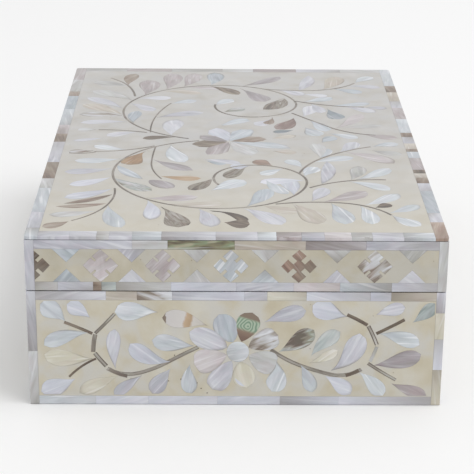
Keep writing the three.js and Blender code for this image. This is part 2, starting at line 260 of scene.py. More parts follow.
SHELLS = {
    # Pale kinds: milky, in cool and warm casts, with narrow painted highlights.
    "white": shell_material("white_mother_of_pearl", ["#A6ABB1", "#BFC4C9", "#D8DCE1"], painted_glint=0.5),
    "bright": shell_material("bright_mother_of_pearl", ["#AFB2BC", "#C8CAD4", "#DDDEE6"], band=0.35),
    "pearl": shell_material("lavender_mother_of_pearl", ["#A2A2AA", "#BEBEC6", "#D4D5DB"]),
    "grey": shell_material("grey_mother_of_pearl", ["#969592", "#B5B4B2", "#CACBCD"]),
    "blue": shell_material("blue_grey_mother_of_pearl", ["#8D959C", "#ADB4BB", "#CBD0D6"]),
    "cream": shell_material("cream_mother_of_pearl", ["#B9B29F", "#CAC5B5", "#DCD9CE"]),
    "pink": shell_material("rose_shell", ["#A9A1A1", "#BEB6B7", "#D2CCCE"]),
    "tan": shell_material("tan_shell", ["#A1978A", "#B7AEA2", "#CBC5BC"]),
    "mauve": shell_material("mauve_shell", ["#8E8484", "#A99F9F", "#C4BEC0"], fine=0.2),
    "teal": shell_material(
        "green_grey_mother_of_pearl", ["#87908E", "#A6AEAD", "#C6CAC8"], (0.1, 0.45, 0.9), band=0.7
    ),
    # Deeper kinds: brown or smoky, most with clearer growth lines and weaker painted highlights.
    "brown": shell_material(
        "brown_lip_shell", ["#5E4C3F", "#867364", "#A39689", "#BDB6B0"], (0.1, 0.45, 0.75, 1.0),
        band=0.55, fine=0.25, painted_glint=0.05, spread=0.3,
    ),
    "dark": shell_material(
        "dark_brown_lip_shell", ["#3F3328", "#635446", "#968876"], band=0.7, fine=0.2, painted_glint=0.05, spread=0.25
    ),
    "red": shell_material("red_brown_shell", ["#6F584B", "#9A8172", "#BBA99B"], fine=0.25, painted_glint=0.1),
    "russet": shell_material("russet_shell", ["#5C4840", "#846E67", "#AB9C96"], fine=0.25, painted_glint=0.1),
    "orange": shell_material("orange_lip_shell", ["#73573C", "#9B7B59", "#C0A98D"], band=0.4),
    "slate": shell_material("slate_grey_shell", ["#5E666C", "#7E878E", "#A6ADB4"]),
    "smoke": shell_material(
        "smoky_shell", ["#6A6361", "#978F91", "#BAB5B9"], band=0.45, painted_glint=0.1, spread=0.15
    ),
    "pale_stem": shell_material(
        "grey_stem_shell", ["#6B6359", "#989389", "#BCBAB3"], band=0.6, fine=0.25, painted_glint=0.1
    ),
    "stem": shell_material(
        "dark_stem_shell", ["#4A4037", "#6E645A", "#9A9288"], band=0.6, fine=0.25, painted_glint=0.05
    ),
    # Figured kinds: light and dark bands lie side by side in one tile.
    "streaked": shell_material(
        "streaked_shell", ["#7D7064", "#A39B93", "#B9B7B8", "#D3D5D9"], (0.22, 0.4, 0.55, 0.9),
        band=0.95, drift=0.5,
    ),
    "umber": shell_material(
        "brown_abalone_shell",
        ["#463A30", "#75675A", "#8F887C", "#6E6154", "#AFAAA3"], (0.1, 0.35, 0.5, 0.62, 0.9),
        band=0.8, drift=-0.3, painted_glint=0.1, spread=0.15,
    ),
    "abalone": shell_material(
        "abalone_shell",
        ["#5F554A", "#867D72", "#8F9488", "#B2B3AE", "#939893", "#BFBFC0"], (0.1, 0.3, 0.42, 0.52, 0.62, 0.9),
        band=1.1, fine=0.15, rainbow=0.24,
    ),
    "moss": shell_material(
        "green_abalone_shell",
        ["#57503C", "#7A7558", "#7E8C6E", "#A39B80", "#8FA58C"], (0.1, 0.35, 0.5, 0.65, 0.9),
        band=1.0, rainbow=0.2,
    ),
    "ringed": ringed_abalone_material(),
    "banded": banded_material(),
}


# How wide the clouds and the paler haze are, and the cells with a pit in each.
RESIN_CLOUD, RESIN_HAZE, RESIN_CELL = 15 * MM, 13 * MM, 9 * MM
NEAR_EDGE = -150 * MM  # where the painted light, a paler and yellower tint, is full


def resin_material(name, colours, haze_colour, painted_near_light=0.0):
    """Polyester resin, filled cream, poured round the shell and ground flush. It has
    soft cloudy patches, a few bubbles cut open as pits, and a satin lacquer. The last
    argument is painted light: how much paler and yellower it is towards the near edge."""
    material, add, surface = new_material(name)
    place = add("TexCoord", {}).outputs["Object"]
    clouds = add("TexNoise", {"Vector": place, "Scale": 1 / RESIN_CLOUD, "Detail": 4.0})
    ramp = add("ValToRGB", {"Fac": clouds.outputs["Fac"]})
    colour = set_ramp(ramp, list(zip((0.3, 0.5, 0.7), colours)))
    sockets = {"Vector": place, "Scale": 1 / RESIN_HAZE, "Detail": 3.0, "Distortion": 0.4}
    haze = add("TexNoise", sockets)
    to_the_back = add("SeparateXYZ", {0: place}).outputs["Y"]
    cells = add("TexVoronoi", {"Vector": place, "Scale": 1 / RESIN_CELL})
    colour = lay_tints(add, colour, [
        (haze.outputs["Fac"], 0.42, 0.62, 0, 0.8, haze_colour),
        # painted light: paler and yellower towards the near edge
        (to_the_back, NEAR_EDGE, 0, painted_near_light, 0, "#D2C9AE"),
        (cells.outputs["Distance"], 0.02, 0.05, 0.6, 0, "#7A6A52"),
    ])
    finish = {"Roughness": 0.38, "IOR": 1.5, "Coat Weight": 0.25, "Coat Roughness": 0.2}
    plug(surface, {"Base Color": colour, **finish})
    return material


WOOD_PORE, WOOD_RUN = 3 * MM, 60 * MM  # across the grain, and along it


def wood_material():
    """Plain light hardwood, planed and oiled: long grain with darker pores."""
    material, add, surface = new_material("carcass_wood")
    place = add("TexCoord", {}).outputs["Object"]
    scale = (1 / WOOD_PORE, 1 / WOOD_RUN, 1 / WOOD_PORE)
    stretched = add("Mapping", {"Vector": place, "Scale": scale})
    sockets = {"Vector": stretched.outputs[0], "Scale": 1, "Detail": 5.0, "Distortion": 0.6}
    grain = add("TexNoise", sockets).outputs["Fac"]
    ramp = add("ValToRGB", {"Fac": grain})
    colour = set_ramp(ramp, [(0.3, "#7C5B3C"), (0.5, "#A27E58"), (0.7, "#B8976F")])
    plug(surface, {"Base Color": colour, "Roughness": 0.6})
    return material


RESINS = {
    "base_side": resin_material("cream_resin", ["#BDB49D", "#C5BEAB", "#CBC7BB"], "#C5C3BD"),
    "lid_side": resin_material("darker_cream_resin", ["#AFA893", "#B9B29F", "#C3BDAE"], "#BAB7AE"),
    # The top's resin is its own cream mixed greyer and bluer as a painted sheen, the white air's reflection
    # on its glossy face, and painted paler and yellower towards the near edge.
    "lid_top": resin_material("cream_resin_with_painted_sheen", ["#B6B2AB", "#BEBBB6", "#C6C4C2"], "#BEBDBC", 0.4),
}
WOOD = wood_material()


# ---------- flat drawing ----------
def heading(degrees):
    return Vector((math.cos(math.radians(degrees)), math.sin(math.radians(degrees))))


def signed_area(outline):
    return sum(a.x * b.y - b.x * a.y for a, b in zip(outline, outline[1:] + outline[:1])) / 2


def grown(outline, by):
    """An anticlockwise outline moved outwards, or inwards when by is negative."""
    moved = []
    for i, corner in enumerate(outline):
        before = (corner - outline[i - 1]).normalized()
        after = (outline[(i + 1) % len(outline)] - corner).normalized()
        out = Vector((before.y, -before.x))
        bisector = (out + Vector((after.y, -after.x))).normalized()
        moved.append(corner + bisector * by / max(0.5, bisector.dot(out)))
    return moved


def clipped(outline, point, inward):
    """The part of an outline on the inward side of a line through point."""
    kept = []
    for a, b in zip(outline, outline[1:] + outline[:1]):
        side_a, side_b = (a - point).dot(inward), (b - point).dot(inward)
        if side_a >= 0:
            kept.append(a)
        if side_a * side_b < 0:
            kept.append(a.lerp(b, side_a / (side_a - side_b)))
    return kept


def rectangle(x0, y0, x1, y1):
    return [Vector(corner) for corner in ((x0, y0), (x1, y0), (x1, y1), (x0, y1))]


def inset(field, by):
    """A field (x0, y0, x1, y1) made smaller all round."""
    x0, y0, x1, y1 = field
    return x0 + by, y0 + by, x1 - by, y1 - by


# Leaf shapes: belly as a share of the length, slimness of the neck and of the tip.
DROP = (0.7, 1.35, 0.55)
BLADE = (0.56, 0.85, 0.85)
PETAL = (0.58, 0.62, 0.5)
EGG = (0.66, 0.85, 0.5)
FAN = (0.7, 0.8, 0.32)
HOOK = (0.8, 2.1, 0.5)
NARROW = 0.26  # width as a share of the length


def leaf_outline(foot, lean, length, width, curl, shape=None):
    """A curved leaf: a drop with a slim neck and a round tip, unless it is long and
    narrow, when it is a blade pointed at both ends."""
    steps = 12
    belly, neck, tip = shape or (BLADE if width < NARROW * length else DROP)
    spine = [foot]
    for step in range(steps):
        turn = lean + curl * ((step + 0.5) / steps - 0.5)
        spine.append(spine[-1] + heading(turn) * length / steps)
    right, left = [], []
    for step in range(1, steps):
        share = step / steps
        if share < belly:
            half = width / 2 * math.sin(math.pi / 2 * share / belly) ** neck
        else:
            half = width / 2 * math.cos(math.pi / 2 * (share - belly) / (1 - belly)) ** tip
        across = heading(lean + curl * (share - 0.5) + 90) * half
        left.append(spine[step] + across)
        right.append(spine[step] - across)
    return [foot, *right, spine[-1], *reversed(left)]


def lozenge_outline(foot, lean, length, width):
    """A petal sawn with straight sides, widest near its end, which is cut aslant."""
    along, across = heading(lean) * length, heading(lean + 90) * width / 2
    right = ((0.2, -0.45), (0.55, -1.0), (0.84, -0.72), (0.98, -0.3))
    left = ((0.86, 0.62), (0.62, 1.0), (0.2, 0.5))
    return [foot, *(foot + along * far + across * aside for far, aside in right + left)]


def diamond_outline(centre, reach):
    return [centre + heading(90 * quarter) * reach for quarter in range(4)]


CUT_DEPTH = 0.26  # of a saw cut in a cross, as a share of its reach
TIP_WORN = 0.04  # how much of a cross's reach its tips have lost


def cross_outline(centre, reach, slit):
    """A square on its corner with a saw cut in the middle of each side."""
    corners = []
    half_slit, depth = reach * slit, reach * (CUT_DEPTH + slit)
    for quarter in range(4):
        tip = centre + heading(90 * quarter) * reach
        after = centre + heading(90 * quarter + 90) * reach
        middle = tip.lerp(after, 0.5)
        along = (after - tip).normalized() * half_slit
        inward = (centre - middle).normalized() * depth
        corners += [tip + (centre - tip) * TIP_WORN, middle - along]
        corners += [middle - along + inward, middle + along + inward, middle + along]
    return corners


def bar_outline(stations, width):
    """A narrow bar sawn along a curve of (place, direction) stations."""
    left = [p + heading(d + 90) * width / 2 for p, d in stations]
    right = [p - heading(d + 90) * width / 2 for p, d in stations]
    return right + left[::-1]


Tile = namedtuple("Tile", "outline shell grain foot reach rimmed")
# A stem's runs are (length, turn in degrees) pairs.
Stem = namedtuple("Stem", "start heading runs leaves width", defaults=(TOP_STEM,))


def tile(outline, shell, grain, rimmed=False):
    """A tile with its grain direction in degrees. Rimmed ones darken towards one side."""
    if signed_area(outline) < 0:
        outline = outline[::-1]
    along = [point.dot(heading(grain)) for point in outline]
    foot = outline[along.index(min(along))]
    return Tile(outline, shell, grain, foot, max(along) - min(along), rimmed)


STATION_PITCH = 3


def walk(stem):
    """Each run of a stem as (place, direction) stations, a few millimetres apart."""
    place, direction = Vector(stem.start), stem.heading
    runs = []
    for length, turn in stem.runs:
        steps = max(3, round(length / STATION_PITCH))
        stations = [(place.copy(), direction)]
        for _ in range(steps):
            place = place + heading(direction + turn / steps / 2) * length / steps
            direction += turn / steps
            stations.append((place.copy(), direction))
        runs.append(stations)
    return runs


def whole_stem(stem, shell, share=1.0):
    """A stem sawn in one length, a share as wide as its own width."""
    stations = [station for run in walk(stem) for station in run]
    return tile(bar_outline(stations, stem.width * share), shell, stem.heading)


def stem_station(stem, distance):
    """The place and direction at a distance along a stem."""
    for (length, _), stations in zip(stem.runs, walk(stem)):
        if distance <= length:
            break
        distance -= length
    share = min(1.0, distance / length) * (len(stations) - 1)
    index = min(int(share), len(stations) - 2)
    (place, direction), (after, turned) = stations[index], stations[index + 1]
    rest = share - index
    return place.lerp(after, rest), direction + (turned - direction) * rest


CURL = 26  # degrees that a leaf bends away from its stem
LEAF_FULLNESS = 1.12  # leaves are sawn wide, and thinned a little as they are fitted


def stem_tiles(stem, shell="stem"):
    """One sawn bar for each run, butted end to end."""
    return [
        tile(bar_outline(stations, stem.width), shell, stations[len(stations) // 2][1])
        for stations in walk(stem)
    ]


def leaf_tiles(stem, gap):
    """The leaves of a stem, from (distance, lean, length, width, shell) rows."""
    tiles = []
    for distance, lean, length, width, shell in stem.leaves:
        place, direction = stem_station(stem, distance)
        toward = direction + lean
        foot = place + heading(toward) * gap
        curl = math.copysign(CURL, lean)
        outline = leaf_outline(foot, toward, length - gap, width * LEAF_FULLNESS, curl)
        tiles.append(tile(outline, shell, toward, True))
    return tiles


def course(x0, y0, x1, y1):
    """The direction in degrees and the length of the way from one point to another."""
    return math.degrees(math.atan2(y1 - y0, x1 - x0)), math.hypot(x1 - x0, y1 - y0)


def bar_tile(x0, y0, x1, y1, bend, shell, width):
    direction, length = course(x0, y0, x1, y1)
    stem = Stem((x0, y0), direction - bend / 2, [(length, bend)], [], width)
    return stem_tiles(stem, shell)[0]


def leaf_between(x0, y0, x1, y1, width, curl, shell, shape=None):
    direction, length = course(x0, y0, x1, y1)
    outline = leaf_outline(Vector((x0, y0)), direction, length, width, curl, shape)
    return tile(outline, shell, direction, True)


def kept_inside(tiles, field):
    """Tiles trimmed to a field, dropping what falls outside it."""
    low, high = Vector(field[:2]), Vector(field[2:])
    trimmed = []
    for each in tiles:
        outline = each.outline
        for point, inward in ((low, (1, 0)), (low, (0, 1)), (high, (-1, 0)), (high, (0, -1))):
            outline = clipped(outline, point, Vector(inward))
        if len(outline) > 2:
            trimmed.append(each._replace(outline=outline))
    return trimmed


# ---------- panels in space ----------
Panel = namedtuple("Panel", "origin right up out")
UP = Vector((0, 0, 1))


def on_panel(panel, point, height):
    """A flat point at a height above a panel's face, as a place in metres."""
    flat = panel.right * point.x + panel.up * point.y
    return (panel.origin + flat + panel.out * height) * MM


def placed(name, bm, materials):
    """Turns drawn faces into an object of the scene."""
    mesh = bpy.data.meshes.new(name)
    bm.to_mesh(mesh)
    bm.free()
    for material in materials:
        mesh.materials.append(material)
    piece = bpy.data.objects.new(name, mesh)
    bpy.context.scene.collection.objects.link(piece)
    return piece


def finish_piece(piece, replaced):
    """Makes an object a piece of the box, in place of the plain solids named."""
    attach(piece, "root")
    if replaced:
        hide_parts(*replaced)


BLANK = 400  # mm of shell pattern that tiles are cut from, each way
GRAIN_SPREAD = 16  # degrees that a tile's grain may be off
LIFT, LIFTS = 0.001, 40  # tiles lie a little higher in turn, so that no two faces coincide
RIM_START = 0.2  # share of the way to a tile's middle that its dark rim takes up
RIM_DARKNESS = (0.1, 1)
RING_CENTRE = 0.54  # of the ringed tile, as a share of its length


def lay_tiles(name, panel, tiles, replaced, seed, depth=SHELL_THICKNESS):
    """Builds tiles as one piece, each a solid of its own with a softened upper edge."""
    rng = random.Random(seed)
    bm = bmesh.new()
    cut_layer = bm.loops.layers.uv.new("cut")
    lie_layer = bm.loops.layers.uv.new("lie")
    tone_layer = bm.faces.layers.float.new("tone")
    shells = list(dict.fromkeys(each.shell for each in tiles))
    for number, each in enumerate(tiles):
        shift = Vector((rng.uniform(0, BLANK), rng.uniform(0, BLANK)))
        if each.shell == "ringed":
            shift = Vector((-each.reach * RING_CENTRE, 0))
        grain = each.grain + rng.uniform(-GRAIN_SPREAD, GRAIN_SPREAD)
        axis, across = heading(grain), heading(grain + 90)
        tone = rng.random()
        dark_side, darkness = heading(rng.uniform(0, 360)), rng.uniform(*RIM_DARKNESS)
        lift = LIFT * (number % LIFTS)
        face_outline = grown(each.outline, -EDGE)
        middle = sum(face_outline, Vector((0, 0))) / len(face_outline)
        levels = [(face_outline, lift), (each.outline, lift - EDGE), (each.outline, -depth)]
        if each.rimmed:
            levels.insert(0, ([point.lerp(middle, RIM_START) for point in face_outline], lift))
        flat, rims, rings = {}, {}, []
        for outline, height in levels:
            ring = [bm.verts.new(on_panel(panel, point, height)) for point in outline]
            for vert, point in zip(ring, outline):
                flat[vert] = point
                rims[vert] = max(0, (point - middle).normalized().dot(dark_side)) * darkness
            rings.append(ring)
        if each.rimmed:
            rims.update(dict.fromkeys(rings[0], 0))
        faces = [bm.faces.new(rings[0]), bm.faces.new(rings[-1][::-1])]
        for upper, lower in zip(rings, rings[1:]):
            for corners in zip(lower, lower[1:] + lower[:1], upper[1:] + upper[:1], upper):
                faces.append(bm.faces.new(corners))
        for face in faces:
            face.material_index = shells.index(each.shell)
            face[tone_layer] = tone
            for loop in face.loops:
                from_foot = flat[loop.vert] - each.foot
                loop[cut_layer].uv = Vector((from_foot.dot(axis), from_foot.dot(across))) + shift
                along = from_foot.dot(heading(each.grain)) / each.reach
                loop[lie_layer].uv = (along, rims[loop.vert])
    bm.normal_update()
    bmesh.ops.triangulate(bm, faces=[face for face in bm.faces if len(face.verts) > 4])
    finish_piece(placed(name, bm, [SHELLS[shell] for shell in shells]), replaced)


INSIDE_ONLY = 1  # the triangles inside the outlines, and none between them and the hull
NEAREST = 1e-4  # points closer than this, in mm, become one


def pour_resin(name, panel, field, tiles, replaced, resin):
    """The resin plate of a panel, with a pocket to fit each tile."""
    outlines = [rectangle(*field)] + [grown(each.outline, CRACK) for each in tiles]
    points, loops = [], []
    for outline in outlines:
        loops.append(list(range(len(points), len(points) + len(outline))))
        points += outline
    flat, _, triangles, _, _, owners = delaunay_2d_cdt(points, [], loops, INSIDE_ONLY, NEAREST)
    bm = bmesh.new()
    heights = {"face": -RESIN_SUNK, "pocket": -SHELL_THICKNESS - CRACK, "back": -SKIN}
    corners = {}

    def corner(level, index):
        if (level, index) not in corners:
            place = on_panel(panel, flat[index], heights[level])
            corners[level, index] = bm.verts.new(place)
        return corners[level, index]

    sides = {}
    for triangle, owner in zip(triangles, owners):
        if 0 not in owner:
            continue
        level = "face" if len(owner) == 1 else "pocket"
        bm.faces.new([corner(level, i) for i in triangle])
        bm.faces.new([corner("back", i) for i in reversed(triangle)])
        for a, b in zip(triangle, triangle[1:] + triangle[:1]):
            sides.setdefault((min(a, b), max(a, b)), []).append((level, a, b))
    for pair in sides.values():
        if len(pair) == 2 and pair[0][0] == pair[1][0]:
            continue
        upper, a, b = min(pair)  # the side on the face, which is the first by name too
        lower = "back" if len(pair) == 1 else "pocket"
        bm.faces.new((corner(upper, b), corner(upper, a), corner(lower, a), corner(lower, b)))
    finish_piece(placed(name, bm, [RESINS[resin]]), replaced)


def dress(name, panel, field, border, seed, resin, layers):
    """Covers a face: its frame, then layers as (piece, tiles, solids that it replaces)
    rows, and the resin between them. Each layer draws its chances from the next seed."""
    lay_tiles(f"{name}_border_strips", panel, border, [f"{name}_border"], seed, SKIN)
    inlay = []
    for piece, tiles, replaced in layers:
        seed += 1
        nodes = [f"{name}_{node}" for node in replaced]
        lay_tiles(f"{name}_{piece}", panel, tiles, nodes, seed)
        inlay += tiles
    pour_resin(f"{name}_resin", panel, field, inlay, [f"{name}_ground"], resin)


# ---------- borders ----------
PALE_MIX = ["white"] * 5 + ["pearl"] * 5 + ["grey"] * 2 + ["blue", "pink", "tan"]
FULL_MIX = PALE_MIX + ["brown", "dark", "mauve", "red", "abalone"]


def strips(rect, joints, shells, upright=False):
    """Straight tiles that fill a rectangle, butted at the joints given."""
    x0, y0, x1, y1 = rect
    ends = [y0, *joints, y1] if upright else [x0, *joints, x1]
    tiles = []
    for start, end, shell in zip(ends, ends[1:], shells):
        room = (x0, start, x1, end) if upright else (start, y0, end, y1)
        tiles.append(tile(rectangle(*inset(room, JOINT)), shell, 90 if upright else 0))
    return tiles


def planned_strips(rect, plan, upright=False):
    """Strips by a plan, which names their shells and the joints between them in turn."""
    words = plan.split()
    return strips(rect, [float(word) for word in words[1::2]], words[::2], upright)


STRIP_LENGTH = 26
JOINT_SPREAD = 0.3  # how far a joint strays, as a share of a strip's length


def chance_strips(rect, rng, upright=False, shells=FULL_MIX):
    """Strips of chance lengths, as they come from the sawyer's box."""
    start, end = rect[1::2] if upright else rect[::2]
    count = max(1, round((end - start) / STRIP_LENGTH))
    pitch = (end - start) / count
    joints = [start + pitch * (i + rng.uniform(-JOINT_SPREAD, JOINT_SPREAD)) for i in range(1, count)]
    return strips(rect, joints, [rng.choice(shells) for _ in range(count)], upright)


# ---------- the lid's top ----------
NEAR_STEMS = [
    Stem((-20, 151), 191, [(46.5, 48), (46, 47), (45.5, 46), (46, 49), (45, 59), (47, 100), (45.5, 119)], [
        (17, 76, 34, 10, "white"), (54, -59, 27, 8, "white"), (65, 45, 28, 6, "blue"),
        (71, -71, 27, 8, "pearl"), (85, -67, 26, 8, "bright"), (123, 48, 28, 8, "mauve"),
        (126, -45, 30, 8, "bright"), (138, 31, 29, 7, "tan"), (155, -66, 28, 9, "pearl"),
        (177, -65, 31, 11, "pearl"), (179, 52, 31, 9, "blue"), (187, -59, 21, 8, "tan"),
        (210, 43, 28, 9, "bright"), (236, 95, 25, 9, "bright"), (242, -45, 18, 8, "white"),
        (259, 79, 17, 7, "white"), (265, -25, 15, 8, "red"), (279, 54, 25, 8, "umber"),
        (310, -33, 23, 8, "umber"), (322, 19, 13, 8, "bright"),
    ]),
    Stem((-62.5, 70), 278, [(27, -27), (27, -34)], [
        (0, -67, 29, 9, "bright"), (9, -58, 29, 4.5, "brown"), (23, -64, 27, 5, "brown"),
        (25, 32, 34, 9, "white"), (35, -47, 25, 7, "grey"), (54, -4, 16, 7, "brown"),
    ], 1.0),
    Stem((-44.6, 141.3), 215, [(35, -34)], [
        (16, -41, 21, 7, "white"), (35, 2, 14, 6, "streaked"),
    ]),
    Stem((-44, 140), 265, [(28, 5), (28, 27)], [
        (51, 59, 23, 7, "orange"),
    ], 0.8),
    Stem((20, 47), 17, [(33, -26), (31, -54)], [
        (8, -79, 33, 11, "tan"), (18, 68, 24, 8, "pearl"), (24, 38, 29, 10, "mauve"),
        (28, -75, 32, 10, "white"), (43, -55, 28, 8, "white"), (45, 73, 27, 8, "white"),
        (51, 76, 11, 6, "dark"), (61, 95, 21, 7, "white"), (63, 12, 21, 8, "white"),
    ]),
    Stem((38.4, 72), 41, [(44, -46)], [
        (8, 50, 39, 7, "pearl"), (23, -51, 26, 8, "white"), (25, 61, 25, 8, "grey"),
        (27, 32, 29, 8, "white"),
    ]),
    Stem((34, 95), 76, [(32, -29), (33, -24)], [
        (20, -37, 25, 8, "white"), (28, 23, 19, 5, "white"), (28, 44, 28, 8, "grey"),
        (43, 23, 23, 8, "pearl"), (47, -74, 33, 10, "pink"), (65, -5, 17, 7, "white"),
    ]),
]
FAR_STEMS = [
    Stem((-26, 155), 160, [
        (44.5, -41), (44.5, -48), (46, -45), (40, -41), (48, -63), (45, -94), (42, -107),
    ], [
        (7, 36, 20, 6, "dark"), (11, -65, 33, 11, "pearl"), (44, -34, 26, 7, "blue"),
        (48, 69, 29, 7, "pearl"), (61, 74, 27, 8, "streaked"), (63, 42, 34, 10, "tan"),
        (75, 49, 34, 8, "pearl"), (88, -120, 23, 8, "pearl"), (94, 75, 34, 11, "grey"),
        (99, -59, 21, 8, "pearl"), (107, 36, 35, 12, "mauve"), (121, -53, 26, 7, "tan"),
        (125, 51, 39, 11, "mauve"), (137, -33, 26, 6, "mauve"), (137, 55, 34, 10, "mauve"),
        (153, -54, 28, 8, "dark"), (155, 81, 31, 10, "blue"), (174, 56, 34, 8, "smoke"),
        (292, -96, 16, 7, "abalone"), (308, -37, 17, 8, "white"),
    ]),
    Stem((-50, 166), 159, [(28.5, 22)], [
        (5, 44, 20, 7, "pearl"), (28.5, 4, 12, 7, "grey"),
    ]),
    Stem((-48, 167), 93, [(31, -13), (29, -13)], [
        (28, -60, 31, 9, "pearl"), (58, -43, 18, 7, "blue"),
    ], 0.8),
    Stem((-60.5, 240), 95, [(22, 14), (24, 28)], [
        (23, 48, 25, 9, "grey"), (25, -30, 28, 8, "brown"),
    ]),
    Stem((34.4, 206), 306, [(34, 1), (31, 44)], [
        (10, 128, 25, 9, "pearl"), (16, -16, 25, 8, "blue"), (39, 106, 35, 8, "pink"),
        (57, 1, 21, 7, "mauve"),
    ]),
    Stem((37.6, 231.5), 328, [(43, 30)], [
        (4, 58, 22, 8, "blue"), (10, -50, 21, 7, "pearl"), (23, 30, 25, 7, "blue"),
        (31, -24, 22, 8, "pearl"), (43, -10, 14, 6, "pearl"),
    ]),
    Stem((18, 258), 344, [(31, 21), (34, 54)], [
        (10, -28, 20, 8, "pearl"), (23, 78, 36, 8, "pearl"), (38, 55, 33, 11, "tan"),
        (45, -56, 20, 8, "blue"), (57, -58, 21, 7, "pearl"), (65, -10, 20, 8, "white"),
    ]),
]
# Leaves that fill the spaces between stems: foot, tip, width, curl in degrees, shell.
NEAR_FILLERS = [
    (-16, 116, -5, 110, 6, 10, "blue"), (-17, 118, 3, 111, 7, -12, "pearl"),
    (21, 133, 34, 130, 7, 0, "tan"), (36, 105, 28, 118, 8, 10, "white"), (76, 135, 92, 128, 8, 14, "grey"),
    (-13, 67, 4.5, 84, 12, 10, "white"), (16, 84, 27, 62, 8, 24, "white"),
    (49, 149, 57, 160, 8, -10, "blue"), (-49, 132, -57, 107.5, 12, 24, "orange", HOOK),
    (-64, 87, -43, 66, 9.5, 26, "abalone"), (-44.5, 117, -22.6, 99, 9, 14, "smoke", (0.7, 1.7, 0.9)),
    (-45, 83, -32, 71, 10, 10, "smoke", PETAL), (-38, 43, -28, 13, 13, -30, "umber", HOOK),
    (-13.5, 37, 5.5, 20, 6, -70, "dark", HOOK), (-6, 20.5, 6.5, 18, 12, 14, "dark"),
]
FAR_FILLERS = [
    (43, 247, 58, 243, 7, 0, "pearl"), (-74, 156, -91, 150, 5, -16, "pearl"),
    (41, 177, 48, 161, 11, 0, "white"), (21, 156, 35, 162, 6.5, 8, "tan"),
    (54, 166, 70, 157, 8, -14, "white"), (-8, 181, 8, 194, 9, 12, "blue"),
    (-7, 180, 10, 190, 4, -20, "blue"), (4, 259, 19.5, 230, 12, -10, "smoke", HOOK),
    (30.5, 238, 17, 212.5, 12, -50, "umber", (0.6, 1.0, 0.8)), (21, 193, 12, 181, 9, -30, "pearl"),
    (22.5, 197, 18, 183, 6, -40, "brown", HOOK), (35, 196, 24, 173, 11, -36, "russet"),
    (34, 172, 22, 168, 6, -14, "slate"), (56, 216, 62, 194, 10.5, 10, "slate", HOOK),
    (61, 177, 86.5, 182, 7, 6, "grey"),
]
TOP_HEART = Vector((-3, 150))
HEART_GAP = 1.2  # bare resin round the point where the petals meet
# Petals of a flower: direction in degrees, reach from its heart, width, shell.
TOP_PETALS = [
    (199, 22, 13, "dark"), (247, 27, 13, "mauve"), (301, 28, 13, "grey"), (343, 37, 11, "white"),
    (17, 22, 11, "brown"), (64, 27, 13, "blue"), (110, 27, 13, "bright"), (152, 20, 10, "smoke"),
]
# The strips of the frame: their shells, with the joints between them.
TOP_STRIPS = {
    "left": (
        "white 12 pearl 34 white 70 grey 85 brown 112 pearl 148 brown 163 mauve 180 white 212 blue 240 "
        "brown 250 grey 277 mauve"
    ),
    "right": (
        "red 22 pearl 35 blue 68 pearl 80 brown 89 tan 96 dark 102 mauve 122 white 133 brown 138 tan 148 "
        "pearl 160 brown 168 white 195 mauve 218 pearl 232 tan 252 brown 266 white"
    ),
    "near": (
        "pearl -80 pearl -67 grey -61 pearl -50 white -36 pearl -10 pearl 10 white 19 mauve 31 pearl 42 "
        "pink 55 grey 65 pearl 80 white"
    ),
}
FAR_MIX = ["grey", "grey", "pearl", "mauve"]
# Thin bars of dark shell: twigs beside the scroll, and slivers let in along the edge.
TWIGS = [(-91, 128, -76, 130, 50, "dark", 0.9), (-91, 129, -78, 132, -30, "dark", 0.6)]
EDGE_SLIVERS = [
    (x, 0.35, x + run, 0.4, 4, "dark", 0.6)
    for x, run in ((-92.5, 3.2), (-66, 4.5), (-17.5, 5), (22, 3), (61, 2.5))
]
CORNER = 1.8  # radius of the lid's corners
TOP_LEAF_GAP = 1.3  # between a stem and its leaves
TOP_ROOM = 1  # that the scrolls keep from the frame


def rounded_corner(each, half, depth):
    """A tile trimmed where it lies in one of the rounded corners of the top."""
    outline = each.outline
    for side_x, side_y, base in ((-1, -1, 180), (1, -1, 270), (1, 1, 0), (-1, 1, 90)):
        centre = Vector((side_x * (half - CORNER), CORNER if side_y < 0 else depth - CORNER))
        for turn in (15, 30, 45, 60, 75):
            out = heading(base + turn)
            outline = clipped(outline, centre + out * CORNER, -out)
    return each._replace(outline=outline)


def build_top():
    panel = Panel(Vector((0, -HALF_DEPTH, TOP)), Vector((1, 0, 0)), Vector((0, 1, 0)), UP)
    depth = 2 * HALF_DEPTH
    inner = HALF_WIDTH - TOP_BORDER_SIDE
    near, far = TOP_BORDER_NEAR, depth - TOP_BORDER_NEAR
    opening = (-inner, near, inner, far)
    border = planned_strips((-HALF_WIDTH, 0, -inner, depth), TOP_STRIPS["left"], True)
    border += planned_strips((inner, 0, HALF_WIDTH, depth), TOP_STRIPS["right"], True)
    border += planned_strips((-inner, 0, inner, near), TOP_STRIPS["near"])
    border += chance_strips((-inner, far, inner, depth), random.Random(11), shells=FAR_MIX)
    border = [rounded_corner(each, HALF_WIDTH, depth) for each in border]
    border += [bar_tile(*row) for row in EDGE_SLIVERS]
    petals = []
    for lean, reach, width, shell in TOP_PETALS:
        foot = TOP_HEART + heading(lean) * HEART_GAP
        petals.append(tile(lozenge_outline(foot, lean, reach - HEART_GAP, width), shell, lean, True))
    scrolls = []
    for stems, fillers, twigs in ((NEAR_STEMS, NEAR_FILLERS, TWIGS), (FAR_STEMS, FAR_FILLERS, [])):
        tiles = [leaf_between(*row) for row in fillers]
        tiles += [each for stem in stems for each in stem_tiles(stem)]
        tiles += [each for stem in stems for each in leaf_tiles(stem, TOP_LEAF_GAP)]
        tiles += [bar_tile(*row) for row in twigs]
        scrolls.append(kept_inside(tiles, inset(opening, TOP_ROOM)))
    dress("lid_top", panel, inset(opening, CRACK), border, 21, "lid_top", [
        ("flower_petals", petals, ["flower"]),
        ("near_scroll", scrolls[0], ["near_vine"]),
        ("far_scroll", scrolls[1], ["far_vine"]),
    ])


